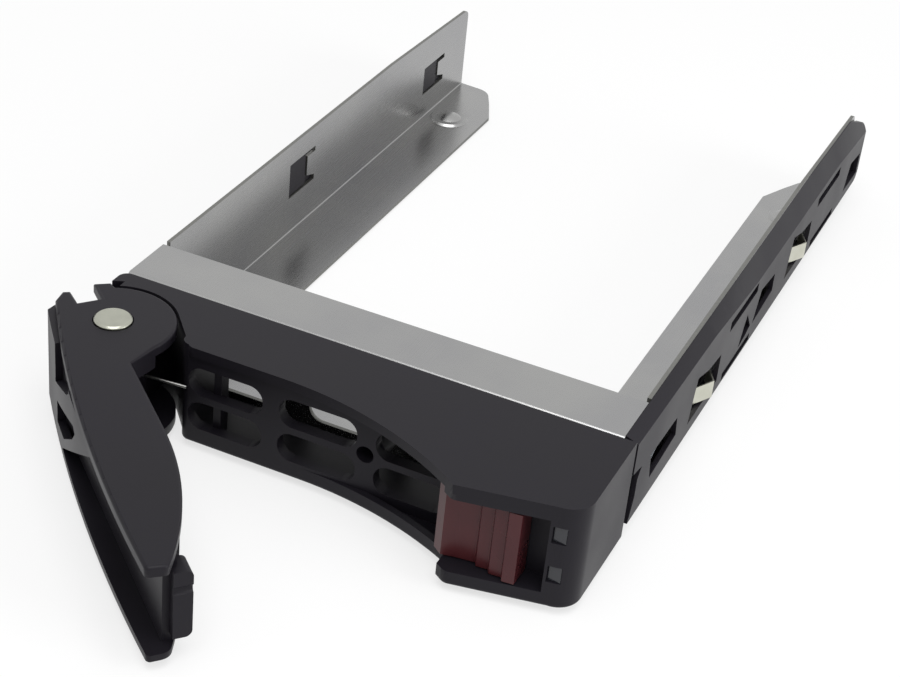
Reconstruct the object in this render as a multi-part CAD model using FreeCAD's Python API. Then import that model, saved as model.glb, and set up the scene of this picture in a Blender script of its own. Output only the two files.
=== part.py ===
import FreeCAD, Part
import math
import os

# Hot swap caddy for one 3.5 inch drive. All lengths are millimetres.
# Origin: middle of the tray's width, in the plane where bezel and tray meet, on the tray's underside.
# +X is to the right seen from the front, +Y runs into the bay, +Z is up.

# ---- the drive that the caddy carries, and the sheet it is folded from
DRIVE_WIDTH = 101.6
DRIVE_LENGTH = 147.0
DRIVE_SIDE_PLAY = 0.2
SHEET = 0.8
BEND_OUTER_RADIUS = 1.1
BODY_GAP = 0.3
RUNNING_GAP = 0.05

TRAY_WIDTH = DRIVE_WIDTH + 2 * DRIVE_SIDE_PLAY + 2 * SHEET
TRAY_HEIGHT = 23.0
TOP_FLANGE_DEPTH = 13.1
TRAY_LENGTH = TOP_FLANGE_DEPTH + DRIVE_LENGTH
LEFT = -TRAY_WIDTH / 2
RIGHT = TRAY_WIDTH / 2

LEDGE_WIDTH = 15.2
LEDGE_TAPER_LENGTH = 14.6
LEDGE_TAPER_WIDTH = 3.2
LEDGE_END_RADIUS = 4.6
BOTTOM_FLANGE_DEPTH = 10.0
FLANGE_CORNER_GAP = 0.8
NOTCH_LENGTH = 1.4
WALL_CORNER_RADIUS = 2.0
WALL_FALL_START = TRAY_LENGTH - 44.1
WALL_END_DROP = 1.5
BULKHEAD_SLOTS = ((15.6, 35.6), (41.0, 58.2), (62.6, 77.4))
BULKHEAD_SLOT_BOTTOM = 3.8
BULKHEAD_SLOT_TOP = 19.4

PAD_INSET = 6.9
PAD_FROM_END = 21.0
PAD_RADIUS = 4.9
PAD_HEIGHT = 0.5
DOME_RADIUS = 3.1
DOME_HEIGHT = 1.0

WINDOW_WIDTH = 8.2
WINDOW_NOTCH_WIDTH = 3.6
WINDOW_NOTCH_HEIGHT = 1.2
WINDOW_STARTS = (65.0, TRAY_LENGTH - 25.1)
WINDOW_BOTTOMS = (9.6, 7.2)
WINDOW_HEIGHTS = (8.4, 7.2)

# ---- bezel
BEZEL_BOTTOM = 1.0
BEZEL_TOP = TRAY_HEIGHT
SKIN = 2.0
SIDE_OVERHANG = 2.6
LEFT_OVERHANG = 0.8
REAR_CORNER_RADIUS = 2.0
BEZEL_SIDE = RIGHT + SIDE_OVERHANG
VENT_FRONT = -15.5
VENT_WALL = 2.5
VENT_BOX_LEFT = LEFT + 21.2
VENT_CORNER_RADIUS = 2.0
BACK_WALL = 1.6
SLOT_CORNER = 2.9
SLOT_STARTS = (23.2, 42.4, 62.4)
SLOT_WIDTHS = (15.8, 16.2, 15.0)
SLOT_ROWS = ((4.8, 10.9), (12.4, 18.5))
VENT_RIB_OFFSET = 4.4
VENT_RIB_THICKNESS = 1.6
VENT_RIB_DEPTH = 2.2
KNEE_RADIUS = 1.8
SCREW_INSET = 60.4
SCREW_HEIGHT = 12.2
SCREW_HOLE_RADIUS = 1.75
SCREW_BOSS_WALL = 1.4
FLOOR = 1.4
LIP_TOP = 4.1
LIP_RIDGE = 1.4
LIP_BEND_PAST_LEVER = 4.0
LIP_ARC_RADIUS = 74.6
LOWER_ROUND = 0.9

BLOCK_LEFT_INSET = 25.0
BLOCK_FRONT_LEFT = -28.8
BLOCK_FRONT_RIGHT = -25.0
BLOCK_CORNER_RADIUS = 4.6
FASCIA_BOTTOM = 19.8
BLOCK_SLANT = 2.0
BLOCK_SLANT_RADIUS = 2.0
POCKET_BACK = -12.0
POCKET_SCREEN = 0.9
POCKET_SCREEN_WIDTH = 5.3
LED_PANEL_WIDTH = 5.9
LED_WALL = 1.0
LED_WINDOW_WIDTH = 2.6
LED_WINDOW_HEIGHT = 3.5
LED_FROM_SIDE = 4.1
LED_HEIGHTS = (8.4, 16.9)
LED_RECESS = 0.5

# ---- lever, drawn closed and relative to its pivot, then swung open by OPEN_ANGLE
PIVOT_INSET = 7.0
PIVOT_Y = -16.0
PIVOT_X = LEFT + PIVOT_INSET
OPEN_ANGLE = 42.0
PLATE = 2.0
KNUCKLE_RADIUS = 12.0
KNUCKLE_GAP = 0.4
RECESS_WALL = 2.4
CLOSED_GAP = 0.5
INNER_EDGE = -0.6
LEVER_TIP_GAP = 2.0
LEVER_REACH = BEZEL_SIDE - BLOCK_LEFT_INSET - PIVOT_X - LEVER_TIP_GAP
INNER_ARC_RUN = 36.2
INNER_ARC_RADIUS = 70.0
INNER_STRAIGHT = LEVER_REACH - INNER_ARC_RUN
UPPER_OUTER_EDGE = (-8.5, -14.0, -14.4)
LOWER_OUTER_EDGE = (-10.0, -13.8, -13.4)
LEVER_MIDDLE = 31.0
FORK_LEFT = -12.4
TOOTH_LEFT = -13.7
FORK_NOTCH_BOTTOM = -4.7
FORK_NOTCH_TOP = -0.1
FORK_NOTCH_END = -7.8
WEB_Y = -9.3
WEB = 1.7
WEB_SHORT = 5.0
RIB = 1.6
BRACE = 1.6
BRACE_FOOT = 10.0
BRACE_END = 38.5
BRACE_HOLES = (((2.0, 12.6), (15.4, 18.6), (17.6, 20.2), (17.6, 21.5), (2.0, 21.5)),
               ((4.0, 9.6), (22.0, 16.4), (23.6, 15.6), (21.2, 12.8), (12.0, 6.4), (4.0, 4.8)))
NECK_RIB = 1.2
NECK_RIB_HEIGHT = 2.6
INNER_RIBS = (16.0, 33.0, 50.0)
LEVER_TOP_ROUND = 0.6
LEVER_TIP_ROUND = 1.0
LEVER_LOWER_CHAMFER = 0.7
LOWER_TIP_SHORT = 2.0
LOWER_TIP_ROUNDS = (0.8, 2.4)
CATCH_FROM_TIP = 3.2
CATCH_WIDTH = 4.4
CATCH_FRONT = -8.8
CATCH_BACK = -5.4
CATCH_ROUND = 1.3
CATCH_BOTTOM = LIP_TOP + 0.4
CATCH_TOP = 18.4
CATCH_NECK_DROP = 3.8

PIN_RADIUS = 2.0
PIN_HEAD_RADIUS = 3.65
PIN_HEAD_HEIGHT = 1.3
PIN_HEAD_PROUD = 0.6
PIN_HEAD_GAP = 0.25
RING_RADIUS = 3.4
RING_THICKNESS = 0.6
RING_POCKET = 0.9
LUG_RADIUS = 6.4
LUG_TOP = 13.6
LUG_WEB_WIDTH = 8.0
TORSION_WIRE = 0.6
TORSION_COIL_RADIUS = 2.65
TORSION_FULL_TURNS = 4
TORSION_TOUCH = 0.03
TORSION_FIXED_LEG_END = 16.0
TORSION_LEVER_LEG_TILT = -45.0

# ---- release button
BUTTON_GAP = 0.3
BUTTON_LEFT_INSET = 27.3
BUTTON_PAD_WIDTH = 16.6
BUTTON_TRAVEL = 4.0
BUTTON_FACE = -24.1
BUTTON_THICKNESS = 3.0
BUTTON_RIBS = 3
BUTTON_RIB_PITCH = 2.8
BUTTON_RIB_STEP = 0.75
BUTTON_BODY_WIDTH = 9.0
BUTTON_SPRING_WIRE = 0.4
BUTTON_SPRING_RADIUS = 2.0
BUTTON_SPRING_TURNS = 6

# ---- light pipes
PIPE_X = 1.1
PIPE_Z = 2.0
PIPE_WALL_GAP = 0.2
UPPER_PIPE_RUN = 17.6
LOWER_PIPE_RUN = 14.2
PIPE_RISE_START = 14.0
PIPE_RISE_END = 28.0
PIPE_END_DROP = 5.6
PIPE_TAPER_START = TRAY_LENGTH - 42.1

# ---- rails
RAIL_SKIN = 1.0
RAIL_START = 4.3
RAIL_TOE = 2.4
RAIL_HOOK_START = 1.2
RAIL_HOOK_BOTTOM = 15.0
RAIL_BOTTOM = 3.0
RAIL_TOP = TRAY_HEIGHT - 0.2
RAIL_END = TRAY_LENGTH + 4.4
RAIL_FALL_LENGTH = 10.5
RAIL_FALL_TOP = 22.0
RAIL_END_TOP = 18.0
RAIL_END_RADIUS = 2.8
SHOULDER_FROM_FRONT = ((-5.0, 21.9), (45.0, 20.7), (76.0, 18.2))
SHOULDER_FROM_END = ((24.5, 17.8), (16.0, 17.0), (-1.0, 15.7))
SHOULDER_SKIN = 1.5
PIPE_DIVIDER = 0.8
DIVIDER_START = 30.0
DIVIDER_SHORT = 6.0
ARM_SLIT_STARTS = (-7.6, -12.4)
ARM_SLIT_LENGTH = 18.6
UPPER_SLITS = ((15.4, 17.6), (14.0, 16.2))
LOWER_SLIT = (3.5, 5.2)
FRONT_WINDOW = ((11.2, 13.3), (12.6, 7.2), (27.2, 8.2), (26.2, 12.8))
ARM_WINDOW = ((11.7, 7.2), (25.5, 8.3), (25.2, 12.6), (15.1, 13.7))
ARM_TIP_GAP = ((2.4, 6.0), (7.2, 6.7), (10.0, 7.6), (6.0, 12.4))
END_WINDOW = ((-14.0, 5.4), (-1.8, 5.2), (-1.8, 10.6), (-11.0, 11.6))
LEFT_RAIL_THICKNESS = 2.4
LEFT_RAIL_TOP = 17.0
LEFT_RAIL_END = TRAY_LENGTH - 2.1
LEFT_RAIL_TAPER = 30.0
LEFT_RAIL_DROP = 4.0

# ---- side springs
SPRING_STRIP = 0.3
SPRING_HEIGHT = 3.9
SPRING_BOTTOM = 6.3
SPRING_PROUD = 1.2
SPRING_WINDOWS = (35.2, TRAY_LENGTH - 59.1)
SPRING_CREST = 11.2
SPRING_FLAT_END = 4.6
SPRING_LENGTH = 16.7
SPRING_TAIL_GAP = 0.6
SPRING_WINDOW = ((0.0, 5.8), (18.2, 5.8), (18.2, 12.1), (10.0, 13.0), (2.5, 15.2))
RIVET_RADIUS = 0.9
RIVET_HEAD_RADIUS = 1.7
RIVET_HEAD = 0.5


def box(x0, x1, y0, y1, z0, z1):
    return Part.makeBox(x1 - x0, y1 - y0, z1 - z0, FreeCAD.Vector(x0, y0, z0))


def rod(radius, length, start, direction):
    return Part.makeCylinder(radius, length, FreeCAD.Vector(*start), FreeCAD.Vector(*direction))


def line(a, b):
    return Part.makeLine(FreeCAD.Vector(*a), FreeCAD.Vector(*b))


def arc(a, middle, b):
    return Part.Arc(FreeCAD.Vector(*a), FreeCAD.Vector(*middle), FreeCAD.Vector(*b)).toShape()


def plan(points, z0, z1):
    """Straight-sided outline in XY, raised from z0 to z1."""
    corners = [FreeCAD.Vector(x, y, z0) for x, y in points]
    face = Part.Face(Part.makePolygon(corners + corners[:1]))
    return face.extrude(FreeCAD.Vector(0, 0, z1 - z0))


def side(points, x0, x1):
    """Straight-sided outline in YZ, raised from x0 to x1."""
    corners = [FreeCAD.Vector(x0, y, z) for y, z in points]
    face = Part.Face(Part.makePolygon(corners + corners[:1]))
    return face.extrude(FreeCAD.Vector(x1 - x0, 0, 0))


def raise_edges(edges, z0, z1):
    """Outline of line and arc edges drawn at height zero, raised from z0 to z1."""
    face = Part.Face(Part.Wire(edges))
    face.translate(FreeCAD.Vector(0, 0, z0))
    return face.extrude(FreeCAD.Vector(0, 0, z1 - z0))


def slot(x0, x1, z0, z1, radius, y0, y1):
    """Rounded rectangular bar along Y, for cutting slots."""
    bar = box(x0, x1, y0, y1, z0, z1)
    corners = [e for e in bar.Edges if abs(e.tangentAt(e.FirstParameter).y) > 0.9]
    return bar.makeFillet(min(radius, (x1 - x0) / 2.01, (z1 - z0) / 2.01), corners)


def upright_edges(shape, points, reach=0.2):
    """Edges along Z whose plan position is one of the points."""
    found = []
    for edge in shape.Edges:
        if abs(edge.tangentAt(edge.FirstParameter).z) > 0.99:
            start = edge.Vertexes[0].Point
            if any(math.hypot(start.x - x, start.y - y) < reach for x, y in points):
                found.append(edge)
    return found


def one(shape):
    """The single solid of a finished piece."""
    clean = shape.removeSplitter()
    if len(clean.Solids) != 1:
        raise ValueError("piece fell into %d solids" % len(clean.Solids))
    return clean.Solids[0]


def swung(shape):
    """Closed lever geometry, relative to the pivot, put at its open rest place."""
    placed = shape.copy()
    placed.rotate(FreeCAD.Vector(0, 0, 0), FreeCAD.Vector(0, 0, 1), -OPEN_ANGLE)
    placed.translate(FreeCAD.Vector(PIVOT_X, PIVOT_Y, 0))
    return placed


# ---------------------------------------------------------------- tray
def window_outline(start, bottom, height):
    """Side window with its narrow upper and lower fingers towards the back."""
    top = bottom + height
    back = start + WINDOW_WIDTH
    tip = back + WINDOW_NOTCH_WIDTH
    return [(start, bottom), (tip, bottom), (tip, bottom + WINDOW_NOTCH_HEIGHT),
            (back, bottom + 2 * WINDOW_NOTCH_HEIGHT), (back, top - WINDOW_NOTCH_HEIGHT),
            (tip, top - WINDOW_NOTCH_HEIGHT), (tip, top), (start, top)]


def tray_side(mirror):
    """Left wall with its ledge; the right one is its mirror image."""
    wall = side([(0, 0), (TRAY_LENGTH, 0), (TRAY_LENGTH, TRAY_HEIGHT - WALL_END_DROP),
                 (WALL_FALL_START, TRAY_HEIGHT), (0, TRAY_HEIGHT)], LEFT, LEFT + SHEET)
    back_top = [e for e in wall.Edges if abs(e.tangentAt(e.FirstParameter).x) > 0.9
                and e.Vertexes[0].Y > TRAY_LENGTH - 1 and e.Vertexes[0].Z > TRAY_HEIGHT / 2]
    wall = wall.makeFillet(WALL_CORNER_RADIUS, back_top)
    front_top = [e for e in wall.Edges if abs(e.tangentAt(e.FirstParameter).x) > 0.9
                 and e.Vertexes[0].Y < 0.01 and e.Vertexes[0].Z > TRAY_HEIGHT / 2]
    wall = wall.makeFillet(BEND_OUTER_RADIUS, front_top)
    inner = LEFT + LEDGE_WIDTH
    ledge = plan([(LEFT, FLANGE_CORNER_GAP), (inner, FLANGE_CORNER_GAP),
                  (inner, TRAY_LENGTH - LEDGE_TAPER_LENGTH),
                  (inner - LEDGE_TAPER_WIDTH, TRAY_LENGTH - LEDGE_TAPER_LENGTH / 2),
                  (inner - 2 * LEDGE_TAPER_WIDTH, TRAY_LENGTH - SHEET),
                  (LEFT, TRAY_LENGTH)], 0, SHEET)
    rounded = upright_edges(ledge, [(inner - LEDGE_TAPER_WIDTH, TRAY_LENGTH - LEDGE_TAPER_LENGTH / 2),
                                    (inner - 2 * LEDGE_TAPER_WIDTH, TRAY_LENGTH - SHEET)])
    ledge = ledge.makeFillet(LEDGE_END_RADIUS, rounded)
    solid = wall.fuse(ledge).removeSplitter()
    outer_bend = [e for e in solid.Edges if abs(e.tangentAt(e.FirstParameter).y) > 0.99
                  and abs(e.Vertexes[0].X - LEFT) < 0.01 and abs(e.Vertexes[0].Z) < 0.01
                  and e.Length > TRAY_LENGTH / 2]
    solid = solid.makeFillet(BEND_OUTER_RADIUS, outer_bend)
    inner_bend = [e for e in solid.Edges if abs(e.tangentAt(e.FirstParameter).y) > 0.99
                  and abs(e.Vertexes[0].X - LEFT - SHEET) < 0.01
                  and abs(e.Vertexes[0].Z - SHEET) < 0.01 and e.Length > TRAY_LENGTH / 2]
    solid = solid.makeFillet(BEND_OUTER_RADIUS - SHEET, inner_bend)
    for start, bottom, height in zip(WINDOW_STARTS, WINDOW_BOTTOMS, WINDOW_HEIGHTS):
        opening = side(window_outline(start, bottom, height), LEFT - 1, LEFT + SHEET + 1)
        solid = solid.cut(opening)
    solid = solid.fuse(seat_pad()).cut(pad_hollow())
    solid = solid.cut(box(LEFT - 1, LEFT + SHEET + 1, TOP_FLANGE_DEPTH,
                          TOP_FLANGE_DEPTH + NOTCH_LENGTH, TRAY_HEIGHT - NOTCH_LENGTH, TRAY_HEIGHT + 1))
    if mirror:
        solid = solid.mirror(FreeCAD.Vector(0, 0, 0), FreeCAD.Vector(1, 0, 0))
    return solid


def pad_dome(grow, z):
    """Pressed pad: a low round table with a dome on it."""
    x = LEFT + PAD_INSET
    y = TRAY_LENGTH - PAD_FROM_END
    table = Part.makeCone(PAD_RADIUS + grow, PAD_RADIUS - 0.5 + grow, PAD_HEIGHT,
                          FreeCAD.Vector(x, y, z), FreeCAD.Vector(0, 0, 1))
    radius = DOME_RADIUS + grow
    ball_radius = (radius ** 2 + DOME_HEIGHT ** 2) / (2 * DOME_HEIGHT)
    centre = z + PAD_HEIGHT + DOME_HEIGHT - ball_radius
    ball = Part.makeSphere(ball_radius, FreeCAD.Vector(x, y, centre))
    cap = ball.common(rod(radius + 0.3, PAD_HEIGHT + DOME_HEIGHT, (x, y, z), (0, 0, 1)))
    return table.fuse(cap)


def seat_pad():
    return pad_dome(0.0, SHEET)


def pad_hollow():
    """Hollow on the underside that the press leaves below the pad."""
    x = LEFT + PAD_INSET
    y = TRAY_LENGTH - PAD_FROM_END
    return rod(PAD_RADIUS - 1.2, PAD_HEIGHT, (x, y, 0), (0, 0, 1))


def tray_frame():
    bulkhead = box(LEFT, RIGHT, 0, SHEET, 0, TRAY_HEIGHT)
    top = box(LEFT, RIGHT, 0, TOP_FLANGE_DEPTH, TRAY_HEIGHT - SHEET, TRAY_HEIGHT)
    ledge_side = LEDGE_WIDTH + FLANGE_CORNER_GAP
    bottom = box(LEFT + ledge_side, RIGHT - ledge_side, 0, BOTTOM_FLANGE_DEPTH, 0, SHEET)
    solid = bulkhead.fuse([top, bottom]).removeSplitter()
    bends = [e for e in solid.Edges if abs(e.tangentAt(e.FirstParameter).x) > 0.99
             and abs(e.Vertexes[0].Y) < 0.01 and abs(e.Vertexes[0].Z - TRAY_HEIGHT) < 0.01]
    solid = solid.makeFillet(BEND_OUTER_RADIUS, bends)
    inside = [e for e in solid.Edges if abs(e.tangentAt(e.FirstParameter).x) > 0.99
              and abs(e.Vertexes[0].Y - SHEET) < 0.01 and abs(e.Vertexes[0].Z - TRAY_HEIGHT + SHEET) < 0.01]
    solid = solid.makeFillet(BEND_OUTER_RADIUS - SHEET, inside)
    for start, end in BULKHEAD_SLOTS:
        solid = solid.cut(slot(LEFT + start, LEFT + end, BULKHEAD_SLOT_BOTTOM, BULKHEAD_SLOT_TOP,
                               SLOT_CORNER, -1, SHEET + 1))
    solid = solid.fuse([tray_side(False), tray_side(True)])
    solid = solid.cut(screw_hole())
    for start in SPRING_WINDOWS:
        solid = solid.cut(rod(RIVET_RADIUS + RUNNING_GAP, 3 * SHEET,
                              (RIGHT - 2 * SHEET, rivet_y(start), rivet_z()), (1, 0, 0)))
    return one(solid)


def screw_hole():
    return rod(SCREW_HOLE_RADIUS - 0.35, 4 * SHEET, (LEFT + SCREW_INSET, -SHEET, SCREW_HEIGHT), (0, 1, 0))


# ---------------------------------------------------------------- lever
def falling(x, begin, level, radius):
    """Y of an arc that leaves a level line at begin and falls away towards the front."""
    return level - radius + math.sqrt(radius ** 2 - (x - begin) ** 2)


def inner_arc(shift, end_x):
    """Middle and end of the inner edge's curved part, moved by shift along Y."""
    points = []
    for x in ((INNER_STRAIGHT + end_x) / 2, end_x):
        points.append((x, falling(x, INNER_STRAIGHT, INNER_EDGE + shift, INNER_ARC_RADIUS), 0))
    return points


def lever_outline(outer_edge, z0, z1):
    """Plan of one of the lever's plates, closed, relative to the pivot."""
    outer_start_y, outer_middle_y, outer_end_y = outer_edge
    middle, end = inner_arc(0.0, LEVER_REACH)
    corner, foot = [(x, y, 0) for x, y in neck_points()]
    top = (0, KNUCKLE_RADIUS, 0)
    back = (-math.sqrt(KNUCKLE_RADIUS ** 2 - 3.6 ** 2), 3.6, 0)
    outer_start = (FORK_LEFT + 2.6, outer_start_y, 0)
    outer_middle = (LEVER_MIDDLE, outer_middle_y, 0)
    outer_end = (LEVER_REACH - 0.5, outer_end_y, 0)
    edges = [line(corner, (INNER_STRAIGHT, INNER_EDGE, 0)),
             arc((INNER_STRAIGHT, INNER_EDGE, 0), middle, end),
             line(end, outer_end),
             arc(outer_end, outer_middle, outer_start),
             line(outer_start, (FORK_LEFT, FORK_NOTCH_BOTTOM - 1.8, 0)),
             line((FORK_LEFT, FORK_NOTCH_BOTTOM - 1.8, 0), (FORK_LEFT + 0.3, FORK_NOTCH_BOTTOM - 0.3, 0)),
             line((FORK_LEFT + 0.3, FORK_NOTCH_BOTTOM - 0.3, 0), (FORK_NOTCH_END, FORK_NOTCH_BOTTOM, 0)),
             line((FORK_NOTCH_END, FORK_NOTCH_BOTTOM, 0), (FORK_NOTCH_END - 0.3, FORK_NOTCH_TOP, 0)),
             line((FORK_NOTCH_END - 0.3, FORK_NOTCH_TOP, 0), (TOOTH_LEFT, FORK_NOTCH_TOP, 0)),
             line((TOOTH_LEFT, FORK_NOTCH_TOP, 0), (TOOTH_LEFT + 0.5, 3.2, 0)),
             line((TOOTH_LEFT + 0.5, 3.2, 0), back),
             arc(back, top, foot),
             line(foot, corner)]
    return raise_edges(edges, z0, z1)


def edges_at(shape, height):
    """Edges that lie in the level plane at this height."""
    found = []
    for edge in shape.Edges:
        heights = [v.Z for v in edge.Vertexes] + [edge.valueAt(edge.FirstParameter).z]
        if max(abs(z - height) for z in heights) < 0.001:
            found.append(edge)
    return found


def lower_plate():
    """Lower plate: shorter at the tip than the upper one and without its tooth."""
    plate = lever_outline(LOWER_OUTER_EDGE, BEZEL_BOTTOM, BEZEL_BOTTOM + PLATE)
    tooth = box(TOOTH_LEFT - 1, FORK_NOTCH_END - 0.3, FORK_NOTCH_TOP - 1, KNUCKLE_RADIUS, 0, BEZEL_TOP)
    plate = plate.cut(tooth.cut(rod(KNUCKLE_RADIUS - 0.5, BEZEL_TOP, (0, 0, 0), (0, 0, 1))))
    tip_x = LEVER_REACH - LOWER_TIP_SHORT
    plate = plate.cut(box(tip_x, LEVER_REACH + 1, -KNUCKLE_RADIUS * 2, 0, 0, BEZEL_TOP))
    corners = [e for e in plate.Edges if abs(e.tangentAt(e.FirstParameter).z) > 0.99
               and abs(e.Vertexes[0].X - tip_x) < 0.01]
    corners.sort(key=lambda e: e.Vertexes[0].Y)
    for radius, corner in zip(LOWER_TIP_ROUNDS, corners):
        place = corner.Vertexes[0].Point
        plate = plate.makeFillet(radius, upright_edges(plate, [(place.x, place.y)], 0.01))
    low_edges = [e for e in edges_at(plate, BEZEL_BOTTOM) if e.BoundBox.XMax > 20.0]
    return plate.makeChamfer(LEVER_LOWER_CHAMFER, low_edges)


def outer_brace(low, high):
    """Wall along the lever's outer edge that runs out under the upper plate, with two openings."""
    outline = lever_outline(LOWER_OUTER_EDGE, low, high)
    inner = outline.copy()
    inner.translate(FreeCAD.Vector(0, BRACE, 0))
    profile = elevation([(FORK_NOTCH_END, low), (BRACE_FOOT, low), (BRACE_END, high), (FORK_NOTCH_END, high)])
    for hole in BRACE_HOLES:
        profile = profile.cut(elevation(hole))
    ahead = box(FORK_LEFT, LEVER_REACH, -2 * KNUCKLE_RADIUS, WEB_Y, 0, BEZEL_TOP)
    return outline.cut(inner).common(ahead).common(profile)


def elevation(points):
    """Straight-sided outline in XZ, raised across the lever's depth."""
    corners = [FreeCAD.Vector(x, -2 * KNUCKLE_RADIUS, z) for x, z in points]
    face = Part.Face(Part.makePolygon(corners + corners[:1]))
    return face.extrude(FreeCAD.Vector(0, 3 * KNUCKLE_RADIUS, 0))


def neck_rib(high):
    """Short skirt under the upper plate where the knuckle runs into the arm."""
    corner, foot = neck_points()
    run = math.hypot(foot[0] - corner[0], foot[1] - corner[1])
    inward = ((corner[1] - foot[1]) / run * NECK_RIB, (foot[0] - corner[0]) / run * NECK_RIB)
    return plan([corner, foot, (foot[0] + inward[0], foot[1] + inward[1]),
                 (corner[0] + inward[0], corner[1] + inward[1])], high - NECK_RIB_HEIGHT, high)


def neck_points():
    """The two ends of the short edge between the knuckle and the arm."""
    return ((math.sqrt(KNUCKLE_RADIUS ** 2 - INNER_EDGE ** 2) + 2.6, INNER_EDGE),
            (math.sqrt(KNUCKLE_RADIUS ** 2 - 5.0 ** 2), 5.0))


def lever_ribs():
    """Brace, horn and upright ribs between the lever's plates."""
    low = BEZEL_BOTTOM + PLATE
    high = BEZEL_TOP - PLATE
    inside = lever_outline(UPPER_OUTER_EDGE, low, high)
    ribs = [outer_brace(low, high), neck_rib(high)]
    for x in INNER_RIBS:
        rib = box(x - RIB / 2, x + RIB / 2, WEB_Y, INNER_EDGE, low, high)
        ribs.append(rib.common(inside))
    horn = box(FORK_LEFT, FORK_NOTCH_END + 2.4, LOWER_OUTER_EDGE[1], FORK_NOTCH_BOTTOM, low, high)
    horn = horn.common(lever_outline(LOWER_OUTER_EDGE, low, high))
    ribs.append(horn.cut(rod(LUG_RADIUS + 1.6, BEZEL_TOP, (0, 0, 0), (0, 0, 1))))
    return ribs


def release_handle():
    low = BEZEL_BOTTOM + PLATE
    high = BEZEL_TOP - PLATE
    top_plate = lever_outline(UPPER_OUTER_EDGE, high, BEZEL_TOP)
    tip = [e for e in top_plate.Edges if abs(e.tangentAt(e.FirstParameter).z) > 0.99
           and e.Vertexes[0].X > LEVER_REACH - 1.0]
    top_plate = top_plate.makeFillet(LEVER_TIP_ROUND, tip)
    top_plate = top_plate.makeFillet(LEVER_TOP_ROUND, edges_at(top_plate, BEZEL_TOP))
    web = box(FORK_NOTCH_END, LEVER_REACH - WEB_SHORT, WEB_Y - WEB / 2, WEB_Y + WEB / 2, low, high)
    web = web.common(lever_outline(UPPER_OUTER_EDGE, low, high))
    solid = top_plate.fuse([lower_plate(), web, catch()] + lever_ribs())
    bore = rod(PIN_RADIUS + RUNNING_GAP, BEZEL_TOP + 2, (0, 0, -1), (0, 0, 1))
    head_seat = rod(PIN_HEAD_RADIUS + PIN_HEAD_GAP, PIN_HEAD_HEIGHT + 1,
                    (0, 0, BEZEL_TOP + PIN_HEAD_PROUD - PIN_HEAD_HEIGHT - RUNNING_GAP), (0, 0, 1))
    ring_seat = rod(RING_RADIUS + PIN_HEAD_GAP, RING_POCKET + 1, (0, 0, BEZEL_BOTTOM - 1), (0, 0, 1))
    return swung(one(solid.cut(bore.fuse([head_seat, ring_seat]))))


def catch():
    """Upright bar at the lever's end that the button's nose holds."""
    right = LEVER_REACH - CATCH_FROM_TIP
    left = right - CATCH_WIDTH
    stem = left + CATCH_WIDTH / 2
    joint = CATCH_FRONT + 1.2
    foot = box(left, stem, WEB_Y - WEB / 2, joint, BEZEL_BOTTOM + PLATE, CATCH_TOP)
    foot = foot.fuse(box(left, stem, WEB_Y - WEB / 2, joint, CATCH_TOP - 1, BEZEL_TOP - PLATE))
    bar = box(left, right, CATCH_FRONT, CATCH_BACK, CATCH_BOTTOM, CATCH_TOP)
    ends = [e for e in bar.Edges if abs(e.Vertexes[0].Y - CATCH_BACK) < 0.01
            and abs(e.tangentAt(e.FirstParameter).x) > 0.9]
    bar = bar.makeFillet(CATCH_ROUND, ends)
    neck = rod(1.0, 6, (right + 0.5, CATCH_FRONT - 1, CATCH_TOP - CATCH_NECK_DROP), (0, 1, 0))
    return foot.fuse(bar.cut(neck))


# ---------------------------------------------------------------- pivot
def pivot_pin():
    bottom = BEZEL_BOTTOM + 0.1
    head_bottom = BEZEL_TOP + PIN_HEAD_PROUD - PIN_HEAD_HEIGHT
    shank = rod(PIN_RADIUS, head_bottom - bottom, (PIVOT_X, PIVOT_Y, bottom), (0, 0, 1))
    head = rod(PIN_HEAD_RADIUS, PIN_HEAD_HEIGHT, (PIVOT_X, PIVOT_Y, head_bottom), (0, 0, 1))
    crown = [e for e in head.Edges if e.Vertexes[0].Z > BEZEL_TOP + PIN_HEAD_PROUD - 0.01
             and e.Vertexes[-1].Z > BEZEL_TOP + PIN_HEAD_PROUD - 0.01]
    head = head.makeChamfer(0.35, crown)
    return one(shank.fuse(head))


def pivot_ring():
    base = BEZEL_BOTTOM + 0.15
    ring = rod(RING_RADIUS, RING_THICKNESS, (PIVOT_X, PIVOT_Y, base), (0, 0, 1))
    return one(ring.cut(rod(PIN_RADIUS + 0.02, 5, (PIVOT_X, PIVOT_Y, 0), (0, 0, 1))))


def coil(radius, wire, turns, height):
    """Coil of round wire about Z from height zero, its centre line climbing to height."""
    pitch = height / turns
    helix = Part.makeHelix(pitch, height, radius)
    profile = Part.Wire(Part.makeCircle(wire / 2, FreeCAD.Vector(radius, 0, 0), FreeCAD.Vector(0, 1, 0)))
    return Part.Wire(helix).makePipeShell([profile], True, True)


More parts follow.
